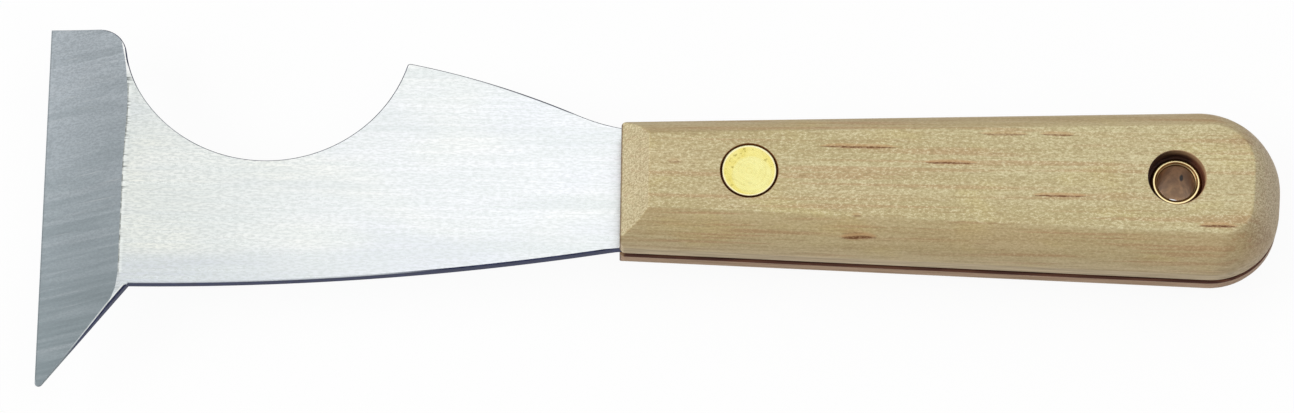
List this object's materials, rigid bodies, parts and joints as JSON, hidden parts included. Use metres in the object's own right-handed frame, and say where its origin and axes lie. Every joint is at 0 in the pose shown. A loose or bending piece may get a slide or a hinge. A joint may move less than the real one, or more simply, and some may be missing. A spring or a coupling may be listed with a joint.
{
  "type": "painter multi-tool",
  "caption": "Painter's multi-tool: flat steel blade with a ground scraping edge, half-round roller notch and pointed spur, in a chamfered wooden handle with a brass-lined hang hole.",
  "frame": {"origin": "centre of the hang hole, midway through the thickness of the tool", "axes": "+X along the handle towards the butt, so the cutting edge is at -X; +Y towards the side with the roller notch; +Z out of the face with the ground bevel, along the hang hole"},
  "size_m": [0.2131, 0.0661, 0.021],
  "materials": {
    "steel": "brushed along the blade, ground grey at the cutting edge",
    "maple": "pale hardwood, sanded, with short brown flecks along the grain",
    "brass": "bright"
  },
  "bodies": {
    "root": {"blade": "steel", "upper_scale": "maple", "lower_scale": "maple", "rivet_cap": "brass", "rivet_stud": "brass", "hang_eyelet": "brass"}
  },
  "joints": []
}
